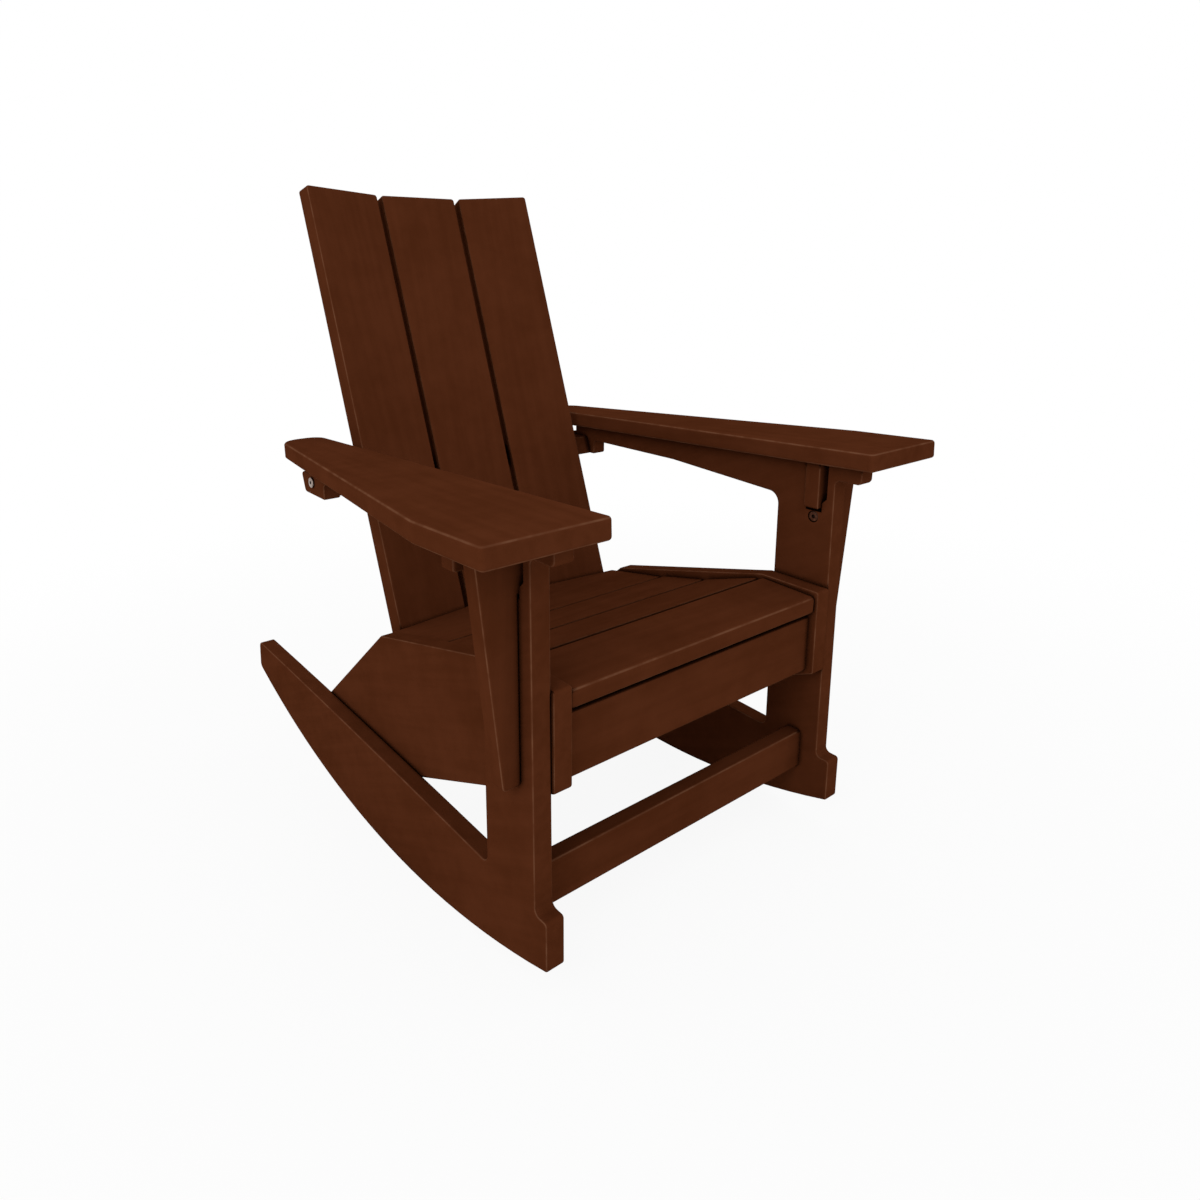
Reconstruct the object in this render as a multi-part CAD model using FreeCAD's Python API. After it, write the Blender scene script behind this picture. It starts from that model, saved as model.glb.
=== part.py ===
import FreeCAD, Part
import math
import os

# Outdoor rocking chair of plastic lumber, in millimetres.
# +Z is up, the chair faces -Y, and left and right are the -X and +X sides.
# The sizes below are for the chair with its legs upright: Y is measured back from an
# upright line just behind the toes' front faces, and Z from the ground. The last step
# rolls the chair forward to where it balances when it is empty, and moves the origin
# to the middle of the whole chair.

# Board thicknesses
BOARD = 25.4                  # seat, brackets, lower rail and cross boards
PANEL_THICK = 27.6
BACK_THICK = 26.2
ARM_THICK = 26.2
STRINGER_THICK = 28.0
LEDGER_THICK = 20.0

# Rounding of edges
ARRIS = 3.0                   # exposed edges of the boards
CORNER = 5.0                  # small corners in the outlines
SMALL_CORNER = 4.0            # long edges of seat slats and cross boards
ARM_ARRIS = 4.5
ARM_CORNER = 5.5              # the arms' front corners

# Side panels
INSIDE_WIDTH = 510.2          # between the two panels
LOWEST_Y = 395.7              # the rocker's lowest point while the legs are upright
FRONT_CURVE = 1275.0          # radius of the rocker's underside ahead of that point
REAR_CURVE = 1400.0           # radius behind it
REST_ROLL = 2.27              # degrees that the empty chair rolls forward to balance
TOE_FRONT = -3.2
TOE_TOP = 129.8
TOE_FILLET = 8.0
LEG_FRONT_LOW = 19.0          # the leg's front above the toe
LEG_FRONT_HIGH = 20.5         # and under the tab
LEG_REAR = 119.0
TAB_FRONT = -21.7             # the tab carries the overhanging front of the arm
TAB_BOTTOM = 566.5
TAB_FILLET = 8.0
RAIL_BOTTOM = 541.0
RAIL_BEND = 345.0             # ahead of this the rail's underside falls to the leg
RAIL_DROP = 13.0
RAIL_FILLET = 18.0            # under the rail, behind the leg
RAIL_REAR = 608.0
HEEL_FILLET = 12.0            # where the leg meets the rocker
ROCKER_TOP_FRONT = 138.5
ROCKER_TOP_MIDDLE = 149.5
ROCKER_TOP_REAR = 154.3
TAIL_REAR = 922.5
TAIL_LEAN = 5.0
TAIL_FILLET = 12.0
TAIL_TOP_FILLET = 9.0
LUG_FRONT = 553.0             # the lug holds the end of the upper back rail
LUG_FILLET = 8.0

# Arm boards
ARM_TILT = 2.36               # degrees, down to the rear
ARM_FRONT = -52.0
ARM_FRONT_TOP = 620.5         # height of the arm's front top edge
ARM_OVERHANG = 25.5           # the arm's inner edge, inside the panel's inner face
ARM_WIDTH = 159.5
ARM_REAR_WIDTH = 66.0
ARM_STRAIGHT = 131.0          # the outer edge runs straight this far back, then tapers
ARM_LENGTH = 734.0
ARM_REAR_OUTER_FILLET = 34.0
ARM_REAR_INNER_FILLET = 26.0

# Arm brackets: upright fins on the outside of the legs
BRACKET_FRONT = 41.0
BRACKET_BOTTOM = 288.0
BRACKET_TOP_WIDTH = 61.0      # beyond the leg's outer face, at the arm
BRACKET_BOTTOM_WIDTH = 25.0
BRACKET_FILLET = 6.0
BRACKET_REACH = 8.0           # inside the leg's inner face
BRACKET_HEEL = 520.0          # underside of the part that crosses the leg
SLOT_BOTTOM = 515.0
SLOT_MOUTH = 9.0              # the slot is wider than the fin at its mouth
SLOT_NECK = 1.5
SLOT_NECK_TOP = 536.0
SLOT_CHAMFER = 7.0
SLOT_CLEAR = 1.0

# Arm blocks: outside the legs, behind the fins
BLOCK_WIDTH = 50.0
BLOCK_DEPTH = 26.6
BLOCK_BOTTOM = 541.0

# Back
RECLINE = 19.66               # degrees from upright
BACK_LOW_Y = 431.9            # front lower corner of the outer slats
BACK_LOW_Z = 220.4
BACK_CLEAR = 14.5             # between the back's top and a stringer's plane
BACK_LENGTH = 816.0
BACK_FAN = 4.7                # the outer slats' lower ends stand inwards by this
MIDDLE_TAPER = 3.6            # the middle slat is narrower at its lower end, each side
MIDDLE_SHARE = 0.3363         # half the middle slat's top, as a share of half the back
OUTER_SHARE = 0.6348          # an outer slat, as a share of half the back
MIDDLE_SET_BACK = 25.4
OUTER_SLAT_YAW = 10.48        # degrees
RAIL_SET = 24.0               # from the slats' front line to a back rail's front
RAIL_DEPTH = 64.2
UPPER_RAIL_BOTTOM = 515.5
UPPER_RAIL_THICK = 32.0
LOWER_RAIL_BOTTOM = 226.0

# Seat: level depths of the four slats, and heights of their top faces' front and
# rear edges
SEAT_FRONT = 20.5
SEAT_GAP = 6.5
FRONT_SLAT_DEPTH = 97.5
FRONT_SLAT_START = 397.3
FRONT_SLAT_END = 400.0
SECOND_SLAT_DEPTH = 105.0
SECOND_SLAT_START = 397.5
SECOND_SLAT_END = 364.5
THIRD_SLAT_DEPTH = 92.5
THIRD_SLAT_START = 362.0
THIRD_SLAT_END = 341.5
REAR_SLAT_DEPTH = 175.5
REAR_SLAT_START = 338.5
REAR_SLAT_END = 306.0
SEAT_NOSE = 5.0
SEAT_END_CLEAR = 0.6
SEAT_BACK_CLEAR = 1.5

# Seat stringers
STRINGER_FRONT = 16.5
STRINGER_TOP = 404.5
STRINGER_CREST_Y = 120.0
STRINGER_TOP_SLOPE = 0.2495
STRINGER_LOW_FRONT = 276.5
STRINGER_LOW_SLOPE = 0.43
STRINGER_REAR_Y = 443.5
STRINGER_REAR_SLOPE = 0.85
STRINGER_FOOT = 95.0
STRINGER_FILLET = 10.0

# Boards across the front
APRON_FRONT = 29.5
APRON_BOTTOM = 277.5
APRON_TOP = 364.5
STRETCHER_FRONT = 49.5
STRETCHER_BOTTOM = 98.0
STRETCHER_TOP = 159.8

# Ledgers under the seat slats' ends
LEDGER_HEIGHT = 30.0
LEDGER_REAR = 440.0
LEDGER_CLEAR = 1.0

# Fasteners
HOLE_CLEAR = 0.2
SCREW = {"head": 4.5, "depth": 3.0, "shank": 2.2, "socket": 1.9}
BOLT = {"head": 8.0, "depth": 5.0, "shank": 3.2, "socket": 3.2}
CAP_BOLT = {"head": 8.2, "depth": 3.2, "shank": 3.2, "socket": 3.0}
SCREW_BITE = 15.0             # how far a screw goes into the second board
BARREL_RADIUS = 6.0
BARREL_LENGTH = 20.0
DOWEL_RADIUS = 5.0
DOWEL_LENGTH = 50.0
BLOCK_DOWEL_LENGTH = 35.0
DOWEL_IN_PANEL = 15.0
COUNTERBORE = 10.0
ARM_COUNTERBORE = 5.0
BACK_COUNTERBORE = 5.0
BOLT_SINK = 1.0

# Places of the fasteners
LUG_BOLT_UP = 20.9            # above the upper rail's underside
LUG_BOLT_BACK = 25.0          # behind the upper rail's front
LUG_BOLT_BITE = 45.0
LUG_NUT_IN = 32.0             # inside the panel's inner face
LUG_NUT_LENGTH = 27.0
BRACKET_BOLT_DOWN = 9.0       # below the slot's bottom
BRACKET_BOLT_BITE = 34.0
BRACKET_NUT_OUT = 22.0        # outside the panel's outer face
LEG_BOLT_HIGH = 325.0
LEG_BOLT_LOW = 275.0
LEG_BOLT_BACK = 30.0          # the lower bolt stands behind the upper one
FOOT_BOLT_UP = 25.0           # above the stringer's foot
FOOT_BOLT_SHARES = (0.14, 0.6)     # of the foot's length
APRON_SCREW_INSET = 20.0
SEAT_SCREW_INSET = 25.0
APRON_SCREW_CLEAR = 14.0      # from the apron's rear face to an upright screw
LEDGER_SCREW_INSET = 10.0     # from the ledger's rear end
RAIL_SCREW_SHARES = (0.2, 0.52, 0.84)   # of the arm rail's length
STRETCHER_DOWEL_INSET = 16.0
LOWER_RAIL_DOWEL_SHARES = (0.35, 0.75)  # of the rail's depth
BLOCK_DOWEL_BACK = 7.0        # behind the block's middle
BACK_SCREW_HEIGHT = 0.3       # of the rail's thickness
BACK_SCREW_SHARES = (0.3, 0.7)     # of a slat's width

PANEL_IN = INSIDE_WIDTH / 2
PANEL_OUT = PANEL_IN + PANEL_THICK
STRINGER_IN = PANEL_IN - STRINGER_THICK
ARM_INNER_X = PANEL_IN - ARM_OVERHANG
ARM_OUTER_X = ARM_INNER_X + ARM_WIDTH
BACK_HALF_WIDTH = STRINGER_IN - BACK_CLEAR
MIDDLE_HALF_WIDTH = BACK_HALF_WIDTH * MIDDLE_SHARE
OUTER_SLAT_WIDTH = BACK_HALF_WIDTH * OUTER_SHARE
BACK_TOP_Y = BACK_LOW_Y + BACK_LENGTH * math.sin(math.radians(RECLINE))
BACK_TOP_Z = BACK_LOW_Z + BACK_LENGTH * math.cos(math.radians(RECLINE))
Vector = FreeCAD.Vector
LEFT_TO_RIGHT = Vector(1, 0, 0)
UP = Vector(0, 0, 1)


def lean(shape):
    """Move a shape from the back's upright working frame to its reclined place."""
    shape.rotate(Vector(0, 0, 0), LEFT_TO_RIGHT, -RECLINE)
    shape.translate(Vector(0, BACK_TOP_Y, BACK_TOP_Z))
    return shape


def back_line(z):
    """Y of the outer slats' front outer corner at a height."""
    return BACK_TOP_Y - (BACK_TOP_Z - z) * math.tan(math.radians(RECLINE))


def under_rocker(y):
    """Height of the rocker's underside."""
    radius = FRONT_CURVE if y < LOWEST_Y else REAR_CURVE
    return radius - math.sqrt(radius ** 2 - (y - LOWEST_Y) ** 2)


def under_rail(y):
    """Height of the underside of the panel's arm rail."""
    fallen = max(0, (RAIL_BEND - y) / (RAIL_BEND - LEG_REAR))
    return RAIL_BOTTOM - RAIL_DROP * fallen


def under_arm(y):
    """Height of the arm's underside."""
    tilt = math.radians(ARM_TILT)
    return ARM_FRONT_TOP - ARM_THICK / math.cos(tilt) - (y - ARM_FRONT) * math.tan(tilt)


def mirrored(shape):
    """The same shape on the other side of the chair."""
    return shape.mirror(Vector(0, 0, 0), LEFT_TO_RIGHT)


def board(corners, sweep, bends=None, arris=ARRIS):
    """A sheet's outline of (point, radius) corners swept to a board with eased rims.

    bends gives, by corner number, the middle point of a curved stretch after it.
    """
    bends = bends or {}
    points = [point for point, radius in corners]
    edges = []
    for index, start in enumerate(points):
        end = points[(index + 1) % len(points)]
        if index in bends:
            edges.append(Part.Arc(start, bends[index], end).toShape())
        else:
            edges.append(Part.makeLine(start, end))
    solid = Part.Face(Part.Wire(edges)).extrude(sweep)
    for radius in sorted({radius for point, radius in corners if radius}):
        wanted = [point for point, size in corners if size == radius]
        solid = solid.makeFillet(radius, edges_through(solid, wanted, sweep))
    if arris:
        solid = solid.makeFillet(arris, rim_edges(solid, points[0], sweep))
    return solid


def edges_through(solid, points, sweep):
    """Edges that run the whole sweep from one of the points."""
    found = []
    for edge in solid.Edges:
        ends = [vertex.Point for vertex in edge.Vertexes]
        for point in points:
            if len(ends) == 2 and touches(ends, point) and touches(ends, point + sweep):
                found.append(edge)
    return found


def touches(ends, point, near=0.001):
    """Whether one of an edge's ends lies at the point."""
    return any((end - point).Length < near for end in ends)


def rim_edges(solid, start, sweep, near=0.001):
    """Edges in the two flat faces that the sweep joins."""
    along = Vector(sweep).normalize()
    found = []
    for edge in solid.Edges:
        heights = [(vertex.Point - start).dot(along) for vertex in edge.Vertexes]
        at_start = all(abs(height) < near for height in heights)
        at_end = all(abs(height - sweep.Length) < near for height in heights)
        if at_start or at_end:
            found.append(edge)
    return found


def yz_corners(x, corners):
    """Corners of an outline in the plane across X, from (y, z, radius)."""
    return [(Vector(x, y, z), radius) for y, z, radius in corners]


def above_arms():
    """Everything over the arms' underside, to trim what carries them."""
    width = 4 * ARM_OUTER_X
    block = Part.makeBox(width, 2 * ARM_LENGTH, ARM_LENGTH)
    block.translate(Vector(-width / 2, ARM_FRONT - ARM_LENGTH / 2, ARM_FRONT_TOP))
    pivot = Vector(0, ARM_FRONT, ARM_FRONT_TOP)
    block.translate(Vector(0, 0, -ARM_THICK))
    block.rotate(pivot, LEFT_TO_RIGHT, -ARM_TILT)
    return block


def side_panel():
    """Leg, arm rail, back lug and rocker in one C-shaped board, on the right."""
    lug_top = UPPER_RAIL_BOTTOM + UPPER_RAIL_THICK
    reach = RAIL_SET + RAIL_DEPTH
    outline = [
        (TOE_FRONT, under_rocker(TOE_FRONT), SMALL_CORNER),
        (TOE_FRONT, TOE_TOP, CORNER),
        (LEG_FRONT_LOW, TOE_TOP, TOE_FILLET),
        (LEG_FRONT_HIGH, TAB_BOTTOM, TAB_FILLET),
        (TAB_FRONT, TAB_BOTTOM, TAB_FILLET),
        (TAB_FRONT, under_arm(TAB_FRONT), SMALL_CORNER),
        (RAIL_REAR, under_arm(RAIL_REAR), CORNER),
        (RAIL_REAR, lug_top, CORNER),
        (back_line(lug_top) + reach, lug_top, CORNER),
        (back_line(UPPER_RAIL_BOTTOM) + reach, UPPER_RAIL_BOTTOM, LUG_FILLET),
        (LUG_FRONT, UPPER_RAIL_BOTTOM, SMALL_CORNER),
        (LUG_FRONT, RAIL_BOTTOM, LUG_FILLET),
        (RAIL_BEND, RAIL_BOTTOM, 0),
        (LEG_REAR, under_rail(LEG_REAR), RAIL_FILLET),
        (LEG_REAR, ROCKER_TOP_FRONT, HEEL_FILLET),
        (TAIL_REAR - TAIL_LEAN, ROCKER_TOP_REAR, TAIL_TOP_FILLET),
        (TAIL_REAR, under_rocker(TAIL_REAR), TAIL_FILLET),
        (LOWEST_Y, 0, 0),
    ]
    middle_y = (LEG_REAR + TAIL_REAR) / 2
    rear_y = (LOWEST_Y + TAIL_REAR) / 2
    front_y = (LOWEST_Y + TOE_FRONT) / 2
    bends = {
        14: Vector(PANEL_IN, middle_y, ROCKER_TOP_MIDDLE),
        16: Vector(PANEL_IN, rear_y, under_rocker(rear_y)),
        17: Vector(PANEL_IN, front_y, under_rocker(front_y)),
    }
    panel = board(yz_corners(PANEL_IN, outline), Vector(PANEL_THICK, 0, 0), bends)
    return panel.cut(bracket_slot())


def bracket_slot():
    """Slot in the panel's top that the arm bracket crosses."""
    rear = BRACKET_FRONT + BOARD + SLOT_CLEAR
    mouth = BRACKET_FRONT - SLOT_MOUTH
    neck = BRACKET_FRONT - SLOT_NECK
    outline = [
        (mouth, ARM_FRONT_TOP, 0),
        (mouth, SLOT_NECK_TOP, 0),
        (neck, SLOT_NECK_TOP - SLOT_CHAMFER, 0),
        (neck, SLOT_BOTTOM, 0),
        (rear, SLOT_BOTTOM, 0),
        (rear, ARM_FRONT_TOP, 0),
    ]
    return board(yz_corners(PANEL_IN, outline), Vector(PANEL_THICK, 0, 0), arris=0)


def arm():
    """Arm board, drawn flat with its front top edge at the origin, then tilted."""
    rear_outer = ARM_INNER_X + ARM_REAR_WIDTH
    outline = [
        (Vector(ARM_INNER_X, 0, 0), ARM_CORNER),
        (Vector(ARM_OUTER_X, 0, 0), ARM_CORNER),
        (Vector(ARM_OUTER_X, ARM_STRAIGHT, 0), 0),
        (Vector(rear_outer, ARM_LENGTH, 0), ARM_REAR_OUTER_FILLET),
        (Vector(ARM_INNER_X, ARM_LENGTH, 0), ARM_REAR_INNER_FILLET),
    ]
    flat = board(outline, Vector(0, 0, -ARM_THICK), arris=ARM_ARRIS)
    flat.rotate(Vector(0, 0, 0), LEFT_TO_RIGHT, -ARM_TILT)
    flat.translate(Vector(0, ARM_FRONT, ARM_FRONT_TOP))
    return flat


def arm_bracket():
    """Upright fin that crosses the leg's slot and tapers down its outer face."""
    inner_x = PANEL_IN - BRACKET_REACH
    top = ARM_FRONT_TOP
    outline = [
        (Vector(inner_x, BRACKET_FRONT, top), 0),
        (Vector(inner_x, BRACKET_FRONT, BRACKET_HEEL), SMALL_CORNER),
        (Vector(PANEL_OUT, BRACKET_FRONT, BRACKET_HEEL), 0),
        (Vector(PANEL_OUT, BRACKET_FRONT, BRACKET_BOTTOM), BRACKET_FILLET),
        (Vector(PANEL_OUT + BRACKET_BOTTOM_WIDTH, BRACKET_FRONT, BRACKET_BOTTOM), BRACKET_FILLET),
        (Vector(PANEL_OUT + BRACKET_TOP_WIDTH, BRACKET_FRONT, top), 0),
    ]
    return board(outline, Vector(0, BOARD, 0)).cut(above_arms())


def arm_block():
    """Block in the corner of the leg and the arm, outside the leg."""
    rear = LEG_REAR
    outline = [
        (Vector(PANEL_OUT, rear - BLOCK_DEPTH, BLOCK_BOTTOM), SMALL_CORNER),
        (Vector(PANEL_OUT + BLOCK_WIDTH, rear - BLOCK_DEPTH, BLOCK_BOTTOM), SMALL_CORNER),
        (Vector(PANEL_OUT + BLOCK_WIDTH, rear, BLOCK_BOTTOM), SMALL_CORNER),
        (Vector(PANEL_OUT, rear, BLOCK_BOTTOM), SMALL_CORNER),
    ]
    sweep = Vector(0, 0, ARM_FRONT_TOP - BLOCK_BOTTOM)
    return board(outline, sweep).cut(above_arms())


def middle_back_slat():
    """Middle board of the back, set back behind the outer two."""
    low_half = MIDDLE_HALF_WIDTH - MIDDLE_TAPER
    outline = [
        (Vector(-MIDDLE_HALF_WIDTH, MIDDLE_SET_BACK, 0), CORNER),
        (Vector(MIDDLE_HALF_WIDTH, MIDDLE_SET_BACK, 0), CORNER),
        (Vector(low_half, MIDDLE_SET_BACK, -BACK_LENGTH), CORNER),
        (Vector(-low_half, MIDDLE_SET_BACK, -BACK_LENGTH), CORNER),
    ]
    return lean(board(outline, Vector(0, BACK_THICK, 0)))


def outer_back_slat():
    """Outer board of the back, turned to face the middle, on the right."""
    outline = [
        (Vector(-OUTER_SLAT_WIDTH, 0, 0), CORNER),
        (Vector(0, 0, 0), CORNER),
        (Vector(-BACK_FAN, 0, -BACK_LENGTH), CORNER),
        (Vector(-OUTER_SLAT_WIDTH - BACK_FAN, 0, -BACK_LENGTH), CORNER),
    ]
    return lean(turned(board(outline, Vector(0, BACK_THICK, 0))))


def turned(shape):
    """Turn a shape with the outer back slat, about its front outer edge."""
    shape.rotate(Vector(0, 0, 0), UP, -OUTER_SLAT_YAW)
    shape.translate(Vector(BACK_HALF_WIDTH, 0, 0))
    return shape


def back_space(depth):
    """The space in front of the back, to a depth behind the slats' front faces."""
    ahead = BACK_LENGTH / 2
    tall = 2 * BACK_LENGTH
    low = -1.5 * BACK_LENGTH
    middle_width = 2 * MIDDLE_HALF_WIDTH + (outer_slat_inner_x() - MIDDLE_HALF_WIDTH)
    middle = Part.makeBox(middle_width, ahead + MIDDLE_SET_BACK + depth, tall)
    middle.translate(Vector(-middle_width / 2, -ahead, low))
    wide = 2 * OUTER_SLAT_WIDTH
    outer = Part.makeBox(wide, ahead + depth, tall)
    outer.translate(Vector(-OUTER_SLAT_WIDTH - BACK_FAN - SEAT_BACK_CLEAR, -ahead, low))
    outer = turned(outer)
    return [lean(middle), lean(outer.copy()), lean(mirrored(outer))]


def outer_slat_inner_x():
    """X of the outer slat's inner front edge."""
    return BACK_HALF_WIDTH - OUTER_SLAT_WIDTH * math.cos(math.radians(OUTER_SLAT_YAW))


def back_rail(bottom, thick, half_width):
    """Flat board behind the slats, its front edge cut to their faces."""
    top = bottom + thick
    outline = [
        (back_line(bottom) + RAIL_SET, bottom, SMALL_CORNER),
        (back_line(top) + RAIL_SET, top, SMALL_CORNER),
        (back_line(top) + RAIL_SET + RAIL_DEPTH, top, SMALL_CORNER),
        (back_line(bottom) + RAIL_SET + RAIL_DEPTH, bottom, SMALL_CORNER),
    ]
    rail = board(yz_corners(-half_width, outline), Vector(2 * half_width, 0, 0), arris=0)
    return rail.cut(back_space(BACK_THICK))


def seat_lines():
    """Each seat slat's name and its top face's front and rear edge, as (y, z)."""
    slats = [
        ("front_seat_slat", FRONT_SLAT_DEPTH, FRONT_SLAT_START, FRONT_SLAT_END),
        ("second_seat_slat", SECOND_SLAT_DEPTH, SECOND_SLAT_START, SECOND_SLAT_END),
        ("third_seat_slat", THIRD_SLAT_DEPTH, THIRD_SLAT_START, THIRD_SLAT_END),
        ("rear_seat_slat", REAR_SLAT_DEPTH, REAR_SLAT_START, REAR_SLAT_END),
    ]
    lines = []
    front = SEAT_FRONT
    for name, depth, start, end in slats:
        lines.append((name, (front, start), (front + depth, end)))
        front += depth + SEAT_GAP
    return lines


def slat_fall(number):
    """Angle by which a seat slat's top face falls to the rear."""
    name, front, rear = SEAT_LINES[number]
    return math.atan2(front[1] - rear[1], rear[0] - front[0])


def slat_under(number, end):
    """Bottom corner of a seat slat under its front (0) or rear (1) top corner.

    The two edges at a gap are mitred alike, so the gap keeps its width.
    """
    fall = slat_fall(number)
    neighbour = min(max(number + 2 * end - 1, 0), len(SEAT_LINES) - 1)
    edge = (fall + slat_fall(neighbour)) / 2
    depth = BOARD / math.cos(edge - fall)
    y, z = SEAT_LINES[number][1 + end]
    return y - depth * math.sin(edge), z - depth * math.cos(edge)


def seat_slat(number):
    """Board across the seat under one of its lines."""
    name, front, rear = SEAT_LINES[number]
    nose = SMALL_CORNER if number else SEAT_NOSE
    half = STRINGER_IN - SEAT_END_CLEAR
    outline = [
        (*front, nose),
        (*rear, SMALL_CORNER),
        (*slat_under(number, 1), SMALL_CORNER),
        (*slat_under(number, 0), SMALL_CORNER),
    ]
    return board(yz_corners(-half, outline), Vector(2 * half, 0, 0))


def seat_slats():
    """The four seat slats by name; the rear one is cut to the back's curve."""
    slats = {line[0]: seat_slat(number) for number, line in enumerate(SEAT_LINES)}
    room = back_space(-SEAT_BACK_CLEAR)
    last = SEAT_LINES[-1][0]
    slats[last] = slats[last].common(room[0].fuse(room[1:]))
    return slats


def stringer_rear_top():
    """Height of the stringer's top rear corner."""
    return STRINGER_TOP - (STRINGER_REAR_Y - STRINGER_CREST_Y) * STRINGER_TOP_SLOPE


def stringer_foot():
    """Y of the front and the rear end of the stringer's foot."""
    front = STRINGER_FRONT + (STRINGER_LOW_FRONT - STRINGER_FOOT) / STRINGER_LOW_SLOPE
    rear = STRINGER_REAR_Y + (stringer_rear_top() - STRINGER_FOOT) / STRINGER_REAR_SLOPE
    return front, rear


def seat_stringer():
    """Board beside the seat that runs down to the inside of the rocker, on the right."""
    foot_front, foot_rear = stringer_foot()
    outline = [
        (STRINGER_FRONT, STRINGER_TOP, SMALL_CORNER),
        (STRINGER_CREST_Y, STRINGER_TOP, 0),
        (STRINGER_REAR_Y, stringer_rear_top(), STRINGER_FILLET),
        (foot_rear, STRINGER_FOOT, STRINGER_FILLET),
        (foot_front, STRINGER_FOOT, STRINGER_FILLET),
        (STRINGER_FRONT, STRINGER_LOW_FRONT, CORNER),
    ]
    return board(yz_corners(STRINGER_IN, outline), Vector(STRINGER_THICK, 0, 0))


def cross_board(half_width, front, bottom, top):
    """Upright board across the chair."""
    outline = [
        (front, bottom, SMALL_CORNER),
        (front, top, SMALL_CORNER),
        (front + BOARD, top, SMALL_CORNER),
        (front + BOARD, bottom, SMALL_CORNER),
    ]
    return board(yz_corners(-half_width, outline), Vector(2 * half_width, 0, 0), arris=0)


def under_seat(number, y):
    """Height of a seat slat's underside."""
    start_y, start_z = slat_under(number, 0)
    return start_z - (y - start_y) * math.tan(slat_fall(number))


def seat_ledger():
    """Cleat inside the stringer that the slats' ends lie on, on the right."""
    start = APRON_FRONT + BOARD + LEDGER_CLEAR
    top = []
    for number in range(len(SEAT_LINES)):
        front = max(start, slat_under(number, 0)[0])
        rear = min(LEDGER_REAR, slat_under(number, 1)[0])
        top += [(front, under_seat(number, front)), (rear, under_seat(number, rear))]
    corners = [(y, z, 0) for y, z in top]
    corners += [(y, z - LEDGER_HEIGHT, 0) for y, z in reversed(top)]
    sweep = Vector(LEDGER_THICK, 0, 0)
    return board(yz_corners(STRINGER_IN - LEDGER_THICK, corners), sweep, arris=0)


def along(shape, point, direction):
    """Turn a shape from +Z to a direction and set it at a point."""
    shape.Placement = FreeCAD.Placement(point, FreeCAD.Rotation(UP, direction))
    return shape


def hexagon(radius, height):
    """Six-sided prism, standing on the origin."""
    points = []
    for corner in range(7):
        turn = math.radians(60 * corner)
        points.append(Vector(radius * math.cos(turn), radius * math.sin(turn), 0))
    return Part.Face(Part.makePolygon(points)).extrude(Vector(0, 0, height))


def fastener(kind, length):
    """Screw or bolt with its head at the origin, running to +Z."""
    head = Part.makeCylinder(kind["head"], kind["depth"])
    rim = [edge for edge in head.Edges if edge.BoundBox.ZMax < kind["depth"] / 2]
    head = head.makeFillet(kind["depth"] / 3, rim)
    shank = Part.makeCylinder(kind["shank"], length)
    shank.translate(Vector(0, 0, kind["depth"]))
    solid = head.fuse(shank).removeSplitter()
    return solid.cut(hexagon(kind["socket"], kind["depth"] * 0.6))


def fastener_hole(kind, length, mouth):
    """Room for a fastener, with its mouth carried out ahead of the head."""
    head = Part.makeCylinder(kind["head"] + 4 * HOLE_CLEAR, kind["depth"] + mouth)
    head.translate(Vector(0, 0, -mouth))
    shank = Part.makeCylinder(kind["shank"] + HOLE_CLEAR, length + HOLE_CLEAR)
    shank.translate(Vector(0, 0, kind["depth"]))
    return head.fuse(shank)


class Hardware:
    """Collects fasteners by group, and the holes that they need."""

    def __init__(self):
        self.groups = {}
        self.holes = []

    def add(self, group, solid, hole):
        self.groups.setdefault(group, []).append(solid)
        self.holes.append(hole)

    def screw(self, group, kind, point, direction, length, sink=0.0, mouth=0.0):
        """A fastener whose head lies sink below the surface at the point."""
        way = Vector(direction).normalize()
        seat = point + way * sink
        hole = fastener_hole(kind, length, sink + mouth)
        self.add(group, along(fastener(kind, length), seat, way), along(hole, seat, way))

    def pin(self, group, radius, length, start, direction, cross=None):
        """A plain pin, with a cross hole through it where a bolt passes."""
        way = Vector(direction).normalize()
        solid = along(Part.makeCylinder(radius, length), start, way)
        if cross:
            solid = solid.cut(cross)
        hole = along(Part.makeCylinder(radius + HOLE_CLEAR, length), start, way)
        self.add(group, solid, hole)


def bolt_bore(point, direction, length):
    """Thread hole that a bolt fills in its barrel nut."""
    bore = Part.makeCylinder(BOLT["shank"] + HOLE_CLEAR / 2, length)
    return along(bore, point, direction)


def add_lug_bolts(hardware, sign):
    """Bolt from outside through the lug into the upper back rail's end."""
    z = UPPER_RAIL_BOTTOM + LUG_BOLT_UP
    y = back_line(z) + RAIL_SET + LUG_BOLT_BACK
    inwards = Vector(-sign, 0, 0)
    surface = Vector(sign * (PANEL_OUT + CAP_BOLT["depth"]), y, z)
    length = PANEL_THICK + LUG_BOLT_BITE
    hardware.screw("lug_bolts", CAP_BOLT, surface, inwards, length)
    nut_x = sign * (PANEL_IN - LUG_NUT_IN)
    bore = bolt_bore(surface, inwards, length + CAP_BOLT["depth"])
    start = Vector(nut_x, y, UPPER_RAIL_BOTTOM)
    hardware.pin("lug_barrel_nuts", BARREL_RADIUS, LUG_NUT_LENGTH, start, UP, bore)


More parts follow.
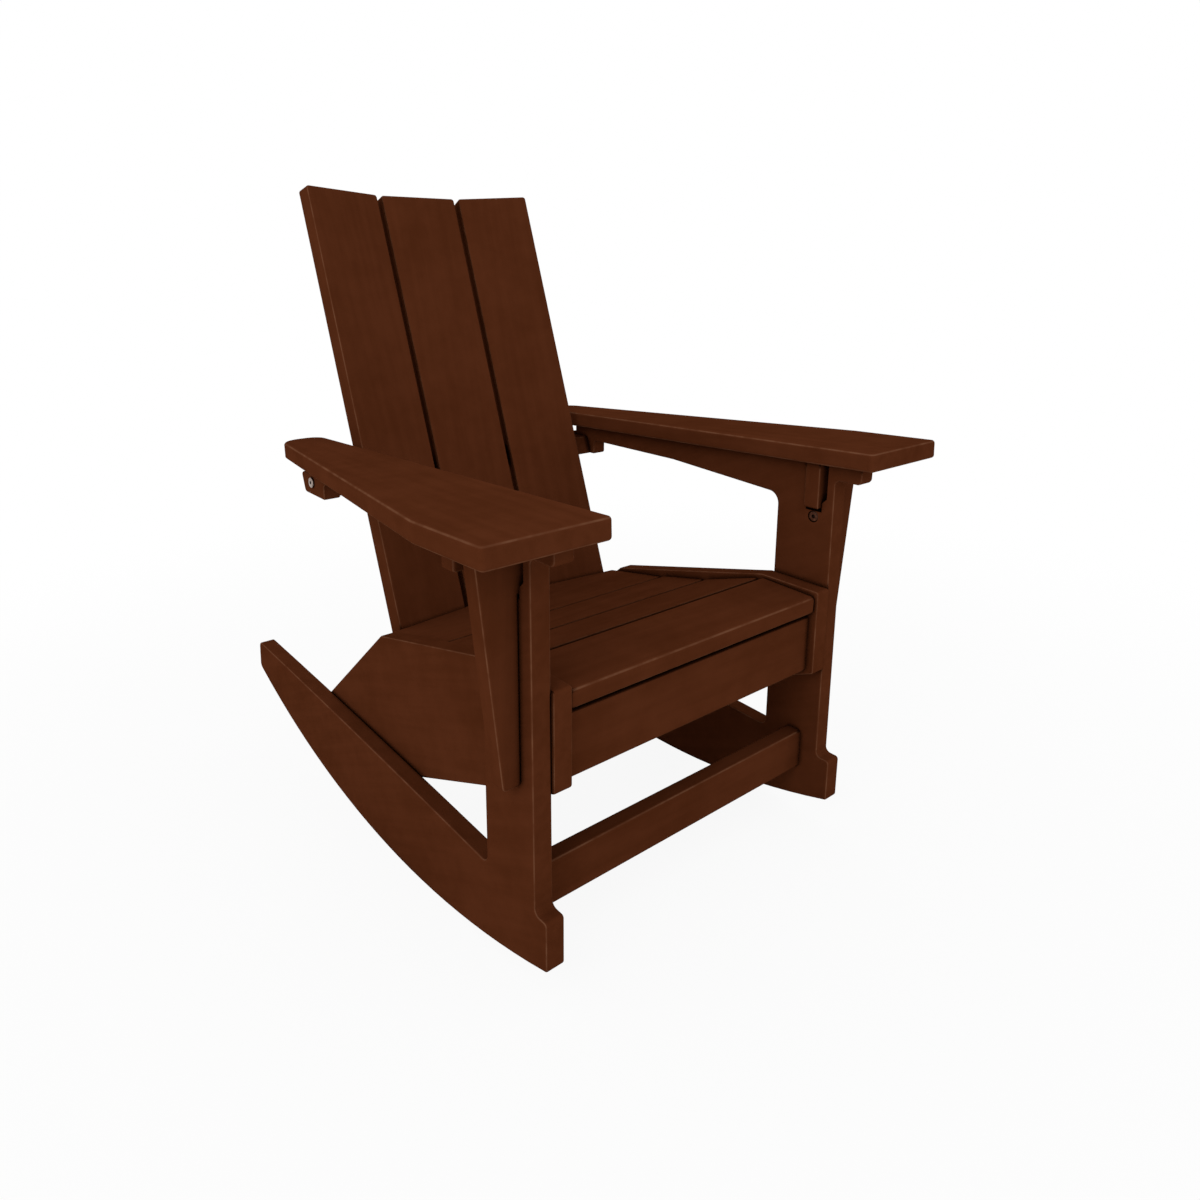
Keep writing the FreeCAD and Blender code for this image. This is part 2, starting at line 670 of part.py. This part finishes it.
def add_bracket_bolts(hardware, sign):
    """Bolt from inside through the leg into the edge of the arm bracket."""
    y = BRACKET_FRONT + BOARD / 2
    z = SLOT_BOTTOM - BRACKET_BOLT_DOWN
    outwards = Vector(sign, 0, 0)
    surface = Vector(sign * PANEL_IN, y, z)
    length = PANEL_THICK - BOLT["depth"] - BOLT_SINK + BRACKET_BOLT_BITE
    hardware.screw("bracket_bolts", BOLT, surface, outwards, length, sink=BOLT_SINK)
    nut_x = sign * (PANEL_OUT + BRACKET_NUT_OUT)
    bore = bolt_bore(surface, outwards, length + BOLT["depth"] + BOLT_SINK)
    start = Vector(nut_x, BRACKET_FRONT + BOARD, z)
    forward = Vector(0, -1, 0)
    hardware.pin("bracket_barrel_nuts", BARREL_RADIUS, BARREL_LENGTH, start, forward, bore)


def add_stringer_bolts(hardware, sign):
    """Bolts from inside through the stringer into the leg and the rocker."""
    outwards = Vector(sign, 0, 0)
    length = STRINGER_THICK + SCREW_BITE - BOLT["depth"] - BOLT_SINK
    leg_middle = (STRINGER_FRONT + LEG_REAR) / 2
    places = [(leg_middle, LEG_BOLT_HIGH), (leg_middle + LEG_BOLT_BACK, LEG_BOLT_LOW)]
    foot_front, foot_rear = stringer_foot()
    for share in FOOT_BOLT_SHARES:
        y = foot_front + (foot_rear - foot_front) * share
        places.append((y, STRINGER_FOOT + FOOT_BOLT_UP))
    for y, z in places:
        surface = Vector(sign * STRINGER_IN, y, z)
        hardware.screw("stringer_bolts", BOLT, surface, outwards, length, sink=BOLT_SINK)


def add_apron_screws(hardware, sign):
    """Screws through the stringer, behind the leg, into the apron's ends."""
    inwards = Vector(-sign, 0, 0)
    y = APRON_FRONT + BOARD / 2
    length = STRINGER_THICK - SCREW["depth"] + 2 * SCREW_BITE
    for z in (APRON_BOTTOM + APRON_SCREW_INSET, APRON_TOP - APRON_SCREW_INSET):
        hardware.screw("apron_screws", SCREW, Vector(sign * PANEL_IN, y, z), inwards, length)


def seat_screw_places(number):
    """Y of the two screws at one end of a seat slat."""
    name, front, rear = SEAT_LINES[number]
    first = max(front[0] + SEAT_SCREW_INSET, APRON_FRONT + BOARD + APRON_SCREW_CLEAR)
    last = min(rear[0] - SEAT_SCREW_INSET, LEDGER_REAR - LEDGER_SCREW_INSET)
    return first, last


def add_ledger_screws(hardware, sign):
    """Screws from the ledger's inner face into the stringer, between the upright ones."""
    outwards = Vector(sign, 0, 0)
    length = LEDGER_THICK + SCREW_BITE - SCREW["depth"]
    for number in range(len(SEAT_LINES)):
        y = sum(seat_screw_places(number)) / 2
        z = under_seat(number, y) - LEDGER_HEIGHT / 2
        surface = Vector(sign * (STRINGER_IN - LEDGER_THICK), y, z)
        hardware.screw("ledger_screws", SCREW, surface, outwards, length)


def add_seat_screws(hardware, sign):
    """Upright screws through the ledger into both edges of each seat slat."""
    x = sign * (STRINGER_IN - LEDGER_THICK / 2)
    length = LEDGER_HEIGHT - COUNTERBORE - SCREW["depth"] + SCREW_BITE
    mouth = SCREW["head"]
    for number in range(len(SEAT_LINES)):
        for y in seat_screw_places(number):
            surface = Vector(x, y, under_seat(number, y) - LEDGER_HEIGHT)
            hardware.screw("seat_slat_screws", SCREW, surface, UP, length, COUNTERBORE, mouth)


def add_arm_screws(hardware, sign):
    """Upright screws through the panel's rail, tab and the block into the arm."""
    panel_x = sign * (PANEL_IN + PANEL_THICK / 2)
    block_x = sign * (PANEL_OUT + BLOCK_WIDTH / 2)
    places = [
        (panel_x, TAB_FRONT / 4, TAB_BOTTOM),
        (block_x, LEG_REAR - BLOCK_DEPTH / 2, BLOCK_BOTTOM),
    ]
    for share in RAIL_SCREW_SHARES:
        y = LEG_REAR + (LUG_FRONT - LEG_REAR) * share
        places.append((panel_x, y, under_rail(y)))
    mouth = SCREW["head"]
    for x, y, z in places:
        length = under_arm(y) - z - ARM_COUNTERBORE - SCREW["depth"] + SCREW_BITE
        surface = Vector(x, y, z)
        hardware.screw("arm_screws", SCREW, surface, UP, length, ARM_COUNTERBORE, mouth)


def add_dowels(hardware, sign):
    """Blind dowels of the front stretcher, the lower back rail and the arm block."""
    inwards = Vector(-sign, 0, 0)
    x = sign * (PANEL_IN + DOWEL_IN_PANEL)
    y = STRETCHER_FRONT + BOARD / 2
    for z in (STRETCHER_BOTTOM + STRETCHER_DOWEL_INSET, STRETCHER_TOP - STRETCHER_DOWEL_INSET):
        hardware.pin("stretcher_dowels", DOWEL_RADIUS, DOWEL_LENGTH, Vector(x, y, z), inwards)
    x = sign * (STRINGER_IN + DOWEL_IN_PANEL)
    z = LOWER_RAIL_BOTTOM + BOARD / 2
    for share in LOWER_RAIL_DOWEL_SHARES:
        y = back_line(z) + RAIL_SET + RAIL_DEPTH * share
        hardware.pin("lower_rail_dowels", DOWEL_RADIUS, DOWEL_LENGTH, Vector(x, y, z), inwards)
    x = sign * (PANEL_OUT - DOWEL_IN_PANEL)
    y = LEG_REAR - BLOCK_DEPTH / 2
    z = (BLOCK_BOTTOM + under_arm(y)) / 2
    start = Vector(x, y + BLOCK_DOWEL_BACK, z)
    hardware.pin("block_dowels", DOWEL_RADIUS, BLOCK_DOWEL_LENGTH, start, -inwards)


def add_back_screws(hardware):
    """Screws through both rails from behind into the three back slats."""
    reach = RAIL_SET + RAIL_DEPTH
    tilt = math.radians(RECLINE)
    for bottom, thick in ((UPPER_RAIL_BOTTOM, UPPER_RAIL_THICK), (LOWER_RAIL_BOTTOM, BOARD)):
        z = bottom + thick * BACK_SCREW_HEIGHT
        rear = reach * math.cos(tilt)
        down = (BACK_TOP_Z - z) / math.cos(tilt) - rear * math.tan(tilt)
        for x in (-MIDDLE_HALF_WIDTH / 2, MIDDLE_HALF_WIDTH / 2):
            add_back_screw(hardware, x, rear, down, MIDDLE_SET_BACK + BACK_THICK)
        for sign in (-1, 1):
            for share in BACK_SCREW_SHARES:
                across = OUTER_SLAT_WIDTH * share
                yaw = math.radians(OUTER_SLAT_YAW)
                x = BACK_HALF_WIDTH - across * math.cos(yaw)
                face = across * math.sin(yaw) + BACK_THICK / math.cos(yaw)
                add_back_screw(hardware, sign * x, rear, down, face)


def add_back_screw(hardware, x, rear, down, face):
    """One screw along the recline's normal, from the rail's rear face to a slat."""
    tilt = math.radians(RECLINE)
    normal = Vector(0, math.cos(tilt), -math.sin(tilt))
    upward = Vector(0, math.sin(tilt), math.cos(tilt))
    point = Vector(x, BACK_TOP_Y, BACK_TOP_Z) + normal * rear - upward * down
    length = rear - face - SCREW["depth"] - BACK_COUNTERBORE + SCREW_BITE
    mouth = SCREW["head"] * math.tan(tilt)
    hardware.screw("back_slat_screws", SCREW, point, -normal, length, BACK_COUNTERBORE, mouth)


def hardware():
    """All the fasteners of the chair."""
    made = Hardware()
    for sign in (-1, 1):
        add_lug_bolts(made, sign)
        add_bracket_bolts(made, sign)
        add_stringer_bolts(made, sign)
        add_apron_screws(made, sign)
        add_ledger_screws(made, sign)
        add_seat_screws(made, sign)
        add_arm_screws(made, sign)
        add_dowels(made, sign)
    add_back_screws(made)
    return made


def boards():
    """All the boards of the chair, by name."""
    made = {}
    paired = {
        "side_panel": side_panel(),
        "arm": arm(),
        "arm_bracket": arm_bracket(),
        "arm_block": arm_block(),
        "back_slat": outer_back_slat(),
        "seat_stringer": seat_stringer(),
        "seat_ledger": seat_ledger(),
    }
    for name, shape in paired.items():
        made["right_" + name] = shape
        made["left_" + name] = mirrored(shape)
    made["middle_back_slat"] = middle_back_slat()
    made.update(seat_slats())
    half_seat = STRINGER_IN
    made["front_apron"] = cross_board(half_seat, APRON_FRONT, APRON_BOTTOM, APRON_TOP)
    made["front_stretcher"] = cross_board(PANEL_IN, STRETCHER_FRONT, STRETCHER_BOTTOM, STRETCHER_TOP)
    made["upper_back_rail"] = back_rail(UPPER_RAIL_BOTTOM, UPPER_RAIL_THICK, PANEL_IN)
    made["lower_back_rail"] = back_rail(LOWER_RAIL_BOTTOM, BOARD, half_seat)
    return made


def drilled(shape, holes):
    """A board with every hole that reaches it."""
    near = [hole for hole in holes if hole.BoundBox.intersect(shape.BoundBox)]
    return shape.cut(near) if near else shape


def rolled(shape):
    """A shape rolled about the front curve's centre to the resting pose."""
    moved = shape.copy()
    moved.rotate(Vector(0, LOWEST_Y, FRONT_CURVE), LEFT_TO_RIGHT, REST_ROLL)
    return moved


def middle_y(shapes):
    """Y of the middle of the box around all the shapes."""
    boxes = [shape.optimalBoundingBox() for shape in shapes]
    return (min(box.YMin for box in boxes) + max(box.YMax for box in boxes)) / 2


def main():
    os.makedirs("parts", exist_ok=True)
    fittings = hardware()
    pieces = {name: rolled(drilled(shape, fittings.holes)) for name, shape in boards().items()}
    for name, solids in fittings.groups.items():
        pieces[name] = rolled(Part.makeCompound(solids))
    to_middle = Vector(0, -middle_y(pieces.values()), 0)
    for name, shape in pieces.items():
        shape.translate(to_middle)
        shape.exportStep("parts/" + name + ".step")


SEAT_LINES = seat_lines()
main()
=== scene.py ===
import math

import bpy
import numpy as np
from mathutils import Euler, Matrix, Vector

# Looks of the outdoor rocking chair, in metres, in the frame of its solids.

# Camera of the photograph, solved from the chair's straight edges
ROLL = 2.27                     # degrees that the chair rests forward of upright legs
CAMERA_PLACE = (-0.79075, -1.13750, 0.82529)
CAMERA_PITCH = 76.37            # degrees, for a chair with upright legs
CAMERA_HEADING = -38.75
CAMERA_LENS = 26.15             # millimetres
CAMERA_SENSOR = 36.0
CAMERA_SHIFT = (0.0235, -0.1046)

# Studio
KEY_PLACE = (-2.6, -1.3, 2.3)
KEY_AIM = (0.0, 0.0, 0.5)
KEY_SIZE = 1.6
KEY_POWER = 26.0                # watts
FILL_PLACE = (1.8, -2.6, 1.6)
FILL_AIM = (0.0, 0.0, 0.4)
FILL_SIZE = 2.0
FILL_POWER = 5.0
WORLD_LIGHT = 0.78
FLOOR_SIZE = 30.0
FLOOR_WHITE_NEAR = 0.92         # share of plain white in the floor by the chair
FLOOR_FADE = (0.7, 2.2)         # distances from the origin between which it turns white
WHITE = (1.0, 1.0, 1.0, 1)
FLOOR_COLOUR = (0.82, 0.82, 0.82, 1)

# Lumber
LUMBER_DARK = (0.072, 0.0188, 0.0064, 1)
LUMBER_LIGHT = (0.094, 0.0257, 0.0096, 1)
# painted highlight colour for the arrises
LUMBER_ARRIS_HIGHLIGHT = (0.175, 0.076, 0.040, 1)
# painted shade colour for crevices and gaps between boards
LUMBER_CREVICE_SHADE = (0.012, 0.0035, 0.0012, 1)
STREAK_SCALE = 70.0             # features per metre, also in the scales below
STREAK_STRETCH = 0.06
CLOUD_SCALE = 7.0
MOTTLE_SCALE = 38.0
GRAIN_SCALE = 1400.0
STREAK_HEIGHT = 0.00035
GRAIN_HEIGHT = 0.00008
BOARD_APART = 3.7               # from one board's pattern to the next one's
FLAT = 0.999                    # cosine between normals of one plane

# Metal and wood
STEEL = ("bolts", "screws", "nuts")
STEEL_DARK = (0.24, 0.185, 0.155, 1)
STEEL_LIGHT = (0.38, 0.31, 0.27, 1)
# painted shade colour for the sockets of the steel
STEEL_SOCKET_SHADE = (0.02, 0.012, 0.009, 1)
COATING = (0.062, 0.019, 0.008, 1)
COATING_RUBBED = (0.11, 0.043, 0.022, 1)
# painted shade colour for the hollows of the coated heads
COATING_HOLLOW_SHADE = (0.012, 0.004, 0.002, 1)
PIN_DARK = (0.42, 0.25, 0.12, 1)
PIN_LIGHT = (0.58, 0.38, 0.21, 1)

# reach of the painted shade in crevices, gaps and sockets
CREVICE = 0.012                 # how near another surface has to be to darken a place
CREVICE_SAMPLES = 6


class Nodes:
    """Adds nodes to one material or world, wired as they are made."""

    def __init__(self, owner):
        owner.use_nodes = True
        self.tree = owner.node_tree
        self.tree.nodes.clear()

    def add(self, kind, inputs=(), **settings):
        """A node of a kind, with its settings, and its inputs by socket name or number."""
        node = self.tree.nodes.new("ShaderNode" + kind)
        for name, value in settings.items():
            setattr(node, name, value)
        for name, value in dict(inputs).items():
            self.feed(node.inputs[name], value)
        return node

    def feed(self, socket, value):
        """Link a socket to another one, or give it a plain value."""
        if isinstance(value, bpy.types.NodeSocket):
            self.tree.links.new(value, socket)
        else:
            socket.default_value = value

    def math(self, operation, first, second=0.0):
        node = self.add("Math", {0: first, 1: second}, operation=operation)
        return node.outputs[0]

    def dot(self, vector, axis):
        node = self.add("VectorMath", {0: vector, 1: tuple(axis)}, operation="DOT_PRODUCT")
        return node.outputs["Value"]

    def noise(self, place, scale, detail=3.0, roughness=0.55):
        inputs = {"Vector": place, "Scale": scale, "Detail": detail, "Roughness": roughness}
        return self.add("TexNoise", inputs).outputs["Fac"]

    def spread(self, value, low, high, bottom=0.0, top=1.0):
        """Value from low to high brought smoothly to bottom and top; low may be the larger."""
        inputs = {
            "Value": value,
            "From Min": low,
            "From Max": high,
            "To Min": bottom,
            "To Max": top,
        }
        node = self.add("MapRange", inputs, interpolation_type="SMOOTHSTEP")
        return node.outputs["Result"]

    def mixed(self, share, first, second):
        node = self.add("Mix", data_type="RGBA")
        self.feed(node.inputs["Factor"], share)
        self.feed(node.inputs["A"], first)
        self.feed(node.inputs["B"], second)
        return node.outputs["Result"]

    def open_sky(self):
        """1 on an open surface, less in a crevice."""
        around = self.add("AmbientOcclusion", {"Distance": CREVICE}, samples=CREVICE_SAMPLES)
        return around.outputs["AO"]

    def bump(self, height, distance, strength=1.0, normal=None):
        node = self.add("Bump", {"Height": height, "Distance": distance, "Strength": strength})
        if normal:
            self.feed(node.inputs["Normal"], normal)
        return node.outputs["Normal"]

    def surface(self, **inputs):
        """Principled shader on the output, its inputs named with _ for each space."""
        named = {name.replace("_", " "): value for name, value in inputs.items()}
        shader = self.add("BsdfPrincipled", named)
        self.add("OutputMaterial", {"Surface": shader.outputs[0]})


def board_axes(thing):
    """Directions along a board's length, across its width and through its thickness."""
    mesh = thing.data
    count = len(mesh.polygons)
    areas = np.empty(count)
    normals = np.empty(count * 3)
    centres = np.empty(count * 3)
    mesh.polygons.foreach_get("area", areas)
    mesh.polygons.foreach_get("normal", normals)
    mesh.polygons.foreach_get("center", centres)
    normals = normals.reshape(-1, 3)
    centres = centres.reshape(-1, 3)
    seed = normals[areas.argmax()]
    broad = max((seed, *np.eye(3)), key=lambda axis: areas[abs(normals @ axis) > FLAT].sum())
    spread = centres - np.average(centres, axis=0, weights=areas)
    spread = spread - np.outer(spread @ broad, broad)
    values, vectors = np.linalg.eigh((spread * areas[:, None]).T @ spread)
    along = Vector(vectors[:, 2])
    through = Vector(broad)
    return along, through.cross(along), through


def lumber(name, axes, number):
    """Brown plastic lumber: faint streaks and clouds, with a painted highlight on its arrises and
    painted shade in its crevices and gaps.
    """
    material = bpy.data.materials.new("lumber_" + name)
    nodes = Nodes(material)
    place = nodes.add("TexCoord").outputs["Object"]
    runs = [nodes.dot(place, axis) for axis in axes]
    apart = BOARD_APART * number
    stretched = nodes.add("CombineXYZ", {
        "X": nodes.math("MULTIPLY", runs[0], STREAK_STRETCH),
        "Y": nodes.math("ADD", runs[1], apart),
        "Z": runs[2],
    }).outputs[0]
    offset = (apart, 0.0, -apart)
    shifted = nodes.add("VectorMath", {0: place, 1: offset}, operation="ADD").outputs[0]
    streaks = nodes.noise(stretched, STREAK_SCALE, detail=4.0)
    clouds = nodes.noise(shifted, CLOUD_SCALE, detail=4.0, roughness=0.6)
    mottle = nodes.noise(shifted, MOTTLE_SCALE, detail=3.0)
    grain = nodes.noise(shifted, GRAIN_SCALE, detail=2.0)

    tone = nodes.math("MULTIPLY", streaks, 0.4)
    tone = nodes.math("ADD", tone, nodes.math("MULTIPLY", clouds, 0.6))
    tone = nodes.math("ADD", tone, nodes.math("MULTIPLY", mottle, 0.25))
    colour = nodes.mixed(nodes.spread(tone, 0.42, 0.84), LUMBER_DARK, LUMBER_LIGHT)

    # tilted is 1 on the board's broad faces, 0 on its rims and in between on its arrises
    facing = nodes.dot(nodes.add("NewGeometry").outputs["Normal"], axes[2])
    tilted = nodes.math("ABSOLUTE", facing)
    open_sky = nodes.open_sky()
    # painted highlight: arrises between the broad faces and the rims turn paler, patchily and not
    # inside crevices
    arris_highlight = nodes.math("MULTIPLY", nodes.spread(tilted, 0.35, 0.55), nodes.spread(tilted, 0.92, 0.72))
    arris_highlight = nodes.math("MULTIPLY", arris_highlight, nodes.spread(mottle, 0.3, 0.7, 0.2, 0.7))
    arris_highlight = nodes.math("MULTIPLY", arris_highlight, nodes.spread(open_sky, 0.85, 1.0))
    colour = nodes.mixed(arris_highlight, colour, LUMBER_ARRIS_HIGHLIGHT)

    # painted shade: rims near another surface and every place deep in a crevice turn dark
    gap_shade = nodes.math("MULTIPLY", nodes.spread(tilted, 0.05, 0.2), nodes.spread(tilted, 0.98, 0.9))
    gap_shade = nodes.math("MULTIPLY", gap_shade, nodes.spread(open_sky, 0.97, 0.75))
    shaded = nodes.math("MAXIMUM", gap_shade, nodes.spread(open_sky, 0.85, 0.45))
    colour = nodes.mixed(shaded, colour, LUMBER_CREVICE_SHADE)

    rough = nodes.spread(nodes.math("ADD", mottle, streaks), 0.6, 1.4, 0.42, 0.56)
    normal = nodes.bump(streaks, STREAK_HEIGHT, 0.35)
    normal = nodes.bump(grain, GRAIN_HEIGHT, 0.5, normal)
    nodes.surface(Base_Color=colour, Roughness=rough, Specular_IOR_Level=0.0, Normal=normal)
    return material


def stainless():
    """Satin stainless steel of the bolts and screws, with painted shade in their sockets."""
    material = bpy.data.materials.new("stainless")
    nodes = Nodes(material)
    place = nodes.add("TexCoord").outputs["Object"]
    fine = nodes.noise(place, 900.0, detail=3.0)
    broad = nodes.noise(place, 120.0, detail=2.0)
    colour = nodes.mixed(nodes.spread(broad, 0.3, 0.7), STEEL_DARK, STEEL_LIGHT)
    # painted shade where another surface is near
    colour = nodes.mixed(nodes.spread(nodes.open_sky(), 0.85, 0.4), colour, STEEL_SOCKET_SHADE)
    rough = nodes.spread(fine, 0.3, 0.7, 0.3, 0.46)
    normal = nodes.bump(fine, 0.00003, 0.4)
    nodes.surface(Base_Color=colour, Metallic=1.0, Roughness=rough, Normal=normal)
    return material


def coated_steel():
    """Brown coated bolt heads, rubbed a little paler, with painted shade in their hollows."""
    material = bpy.data.materials.new("coated_steel")
    nodes = Nodes(material)
    place = nodes.add("TexCoord").outputs["Object"]
    fine = nodes.noise(place, 700.0, detail=3.0)
    rubbed = nodes.spread(nodes.noise(place, 260.0, detail=4.0), 0.45, 0.7)
    colour = nodes.mixed(rubbed, COATING, COATING_RUBBED)
    # painted shade where another surface is near
    colour = nodes.mixed(nodes.spread(nodes.open_sky(), 0.85, 0.4), colour, COATING_HOLLOW_SHADE)
    rough = nodes.spread(fine, 0.3, 0.7, 0.3, 0.48)
    normal = nodes.bump(fine, 0.00004, 0.4)
    nodes.surface(Base_Color=colour, Roughness=rough, Specular_IOR_Level=0.15, Normal=normal)
    return material


def beech():
    """Plain wooden pins of the blind joints."""
    material = bpy.data.materials.new("dowel_wood")
    nodes = Nodes(material)
    place = nodes.add("TexCoord").outputs["Object"]
    turned = nodes.add("Mapping", {"Vector": place, "Scale": (4.0, 90.0, 90.0)}).outputs[0]
    fibres = nodes.noise(turned, 4.0, detail=4.0)
    colour = nodes.mixed(nodes.spread(fibres, 0.3, 0.7), PIN_DARK, PIN_LIGHT)
    normal = nodes.bump(fibres, 0.0001, 0.3)
    nodes.surface(Base_Color=colour, Roughness=0.6, Normal=normal)
    return material


def dress(frame):
    """Give every solid its material."""
    steel = stainless()
    coated = coated_steel()
    wood = beech()
    for number, (name, thing) in enumerate(sorted(frame["nodes"].items())):
        if name == "bracket_bolts":
            material = coated
        elif name.endswith(STEEL):
            material = steel
        elif name.endswith("dowels"):
            material = wood
        else:
            material = lumber(name, board_axes(thing), number)
        thing.data.materials.clear()
        thing.data.materials.append(material)


def backdrop_share(nodes):
    """1 for rays that should see the plain white background."""
    rays = nodes.add("LightPath").outputs
    seen = nodes.math("MAXIMUM", rays["Is Camera Ray"], rays["Is Glossy Ray"])
    return nodes.math("MAXIMUM", seen, rays["Is Transmission Ray"])


def pale_floor():
    """Pale floor that takes the chair's shadow and fades into the white background."""
    bpy.ops.mesh.primitive_plane_add(size=FLOOR_SIZE)
    floor = bpy.context.object
    floor.name = "floor"
    material = bpy.data.materials.new("floor")
    nodes = Nodes(material)
    place = nodes.add("TexCoord").outputs["Object"]
    away = nodes.add("VectorMath", {0: place}, operation="LENGTH").outputs["Value"]
    faded = nodes.spread(away, *FLOOR_FADE, FLOOR_WHITE_NEAR, 1.0)
    share = nodes.math("MULTIPLY", faded, backdrop_share(nodes))
    matt = nodes.add("BsdfDiffuse", {"Color": FLOOR_COLOUR})
    white = nodes.add("Emission", {"Color": WHITE, "Strength": 1.0})
    both = nodes.add("MixShader", {0: share, 1: matt.outputs[0], 2: white.outputs[0]})
    nodes.add("OutputMaterial", {"Surface": both.outputs[0]})
    floor.data.materials.append(material)


def soft_world():
    """White background, with a dimmer even light on the object."""
    world = bpy.data.worlds.new("studio")
    bpy.context.scene.world = world
    nodes = Nodes(world)
    share = backdrop_share(nodes)
    light = nodes.add("Background", {"Color": WHITE, "Strength": WORLD_LIGHT})
    white = nodes.add("Background", {"Color": WHITE, "Strength": 1.0})
    both = nodes.add("MixShader", {0: share, 1: light.outputs[0], 2: white.outputs[0]})
    nodes.add("OutputWorld", {"Surface": both.outputs[0]})


def soft_lamp(name, place, aim, size, power):
    """Large square lamp at a place, turned to aim."""
    lamp = bpy.data.lights.new(name, "AREA")
    lamp.size = size
    lamp.energy = power
    thing = bpy.data.objects.new(name, lamp)
    thing.location = place
    thing.rotation_euler = (Vector(aim) - Vector(place)).to_track_quat("-Z", "Y").to_euler()
    bpy.context.collection.objects.link(thing)


def camera():
    """Camera at the photograph's place; the solved one is rolled along with the chair."""
    lens = bpy.data.cameras.new("camera")
    lens.lens = CAMERA_LENS
    lens.sensor_width = CAMERA_SENSOR
    lens.shift_x, lens.shift_y = CAMERA_SHIFT
    thing = bpy.data.objects.new("camera", lens)
    pitch = math.radians(CAMERA_PITCH)
    heading = math.radians(CAMERA_HEADING)
    upright = Euler((pitch, 0.0, heading)).to_matrix()
    turn = Matrix.Rotation(math.radians(ROLL), 3, "X") @ upright
    thing.matrix_world = Matrix.Translation(CAMERA_PLACE) @ turn.to_4x4()
    bpy.context.collection.objects.link(thing)
    bpy.context.scene.camera = thing


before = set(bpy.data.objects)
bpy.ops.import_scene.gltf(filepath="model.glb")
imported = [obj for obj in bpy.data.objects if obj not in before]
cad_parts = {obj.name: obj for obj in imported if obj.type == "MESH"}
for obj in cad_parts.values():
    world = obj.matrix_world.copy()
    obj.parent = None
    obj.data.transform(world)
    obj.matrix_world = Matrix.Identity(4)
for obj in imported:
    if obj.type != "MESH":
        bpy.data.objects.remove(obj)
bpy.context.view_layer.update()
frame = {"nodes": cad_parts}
dress(frame)
pale_floor()
soft_world()
soft_lamp("key", KEY_PLACE, KEY_AIM, KEY_SIZE, KEY_POWER)
soft_lamp("fill", FILL_PLACE, FILL_AIM, FILL_SIZE, FILL_POWER)
camera()
bpy.context.scene.view_settings.view_transform = "Standard"
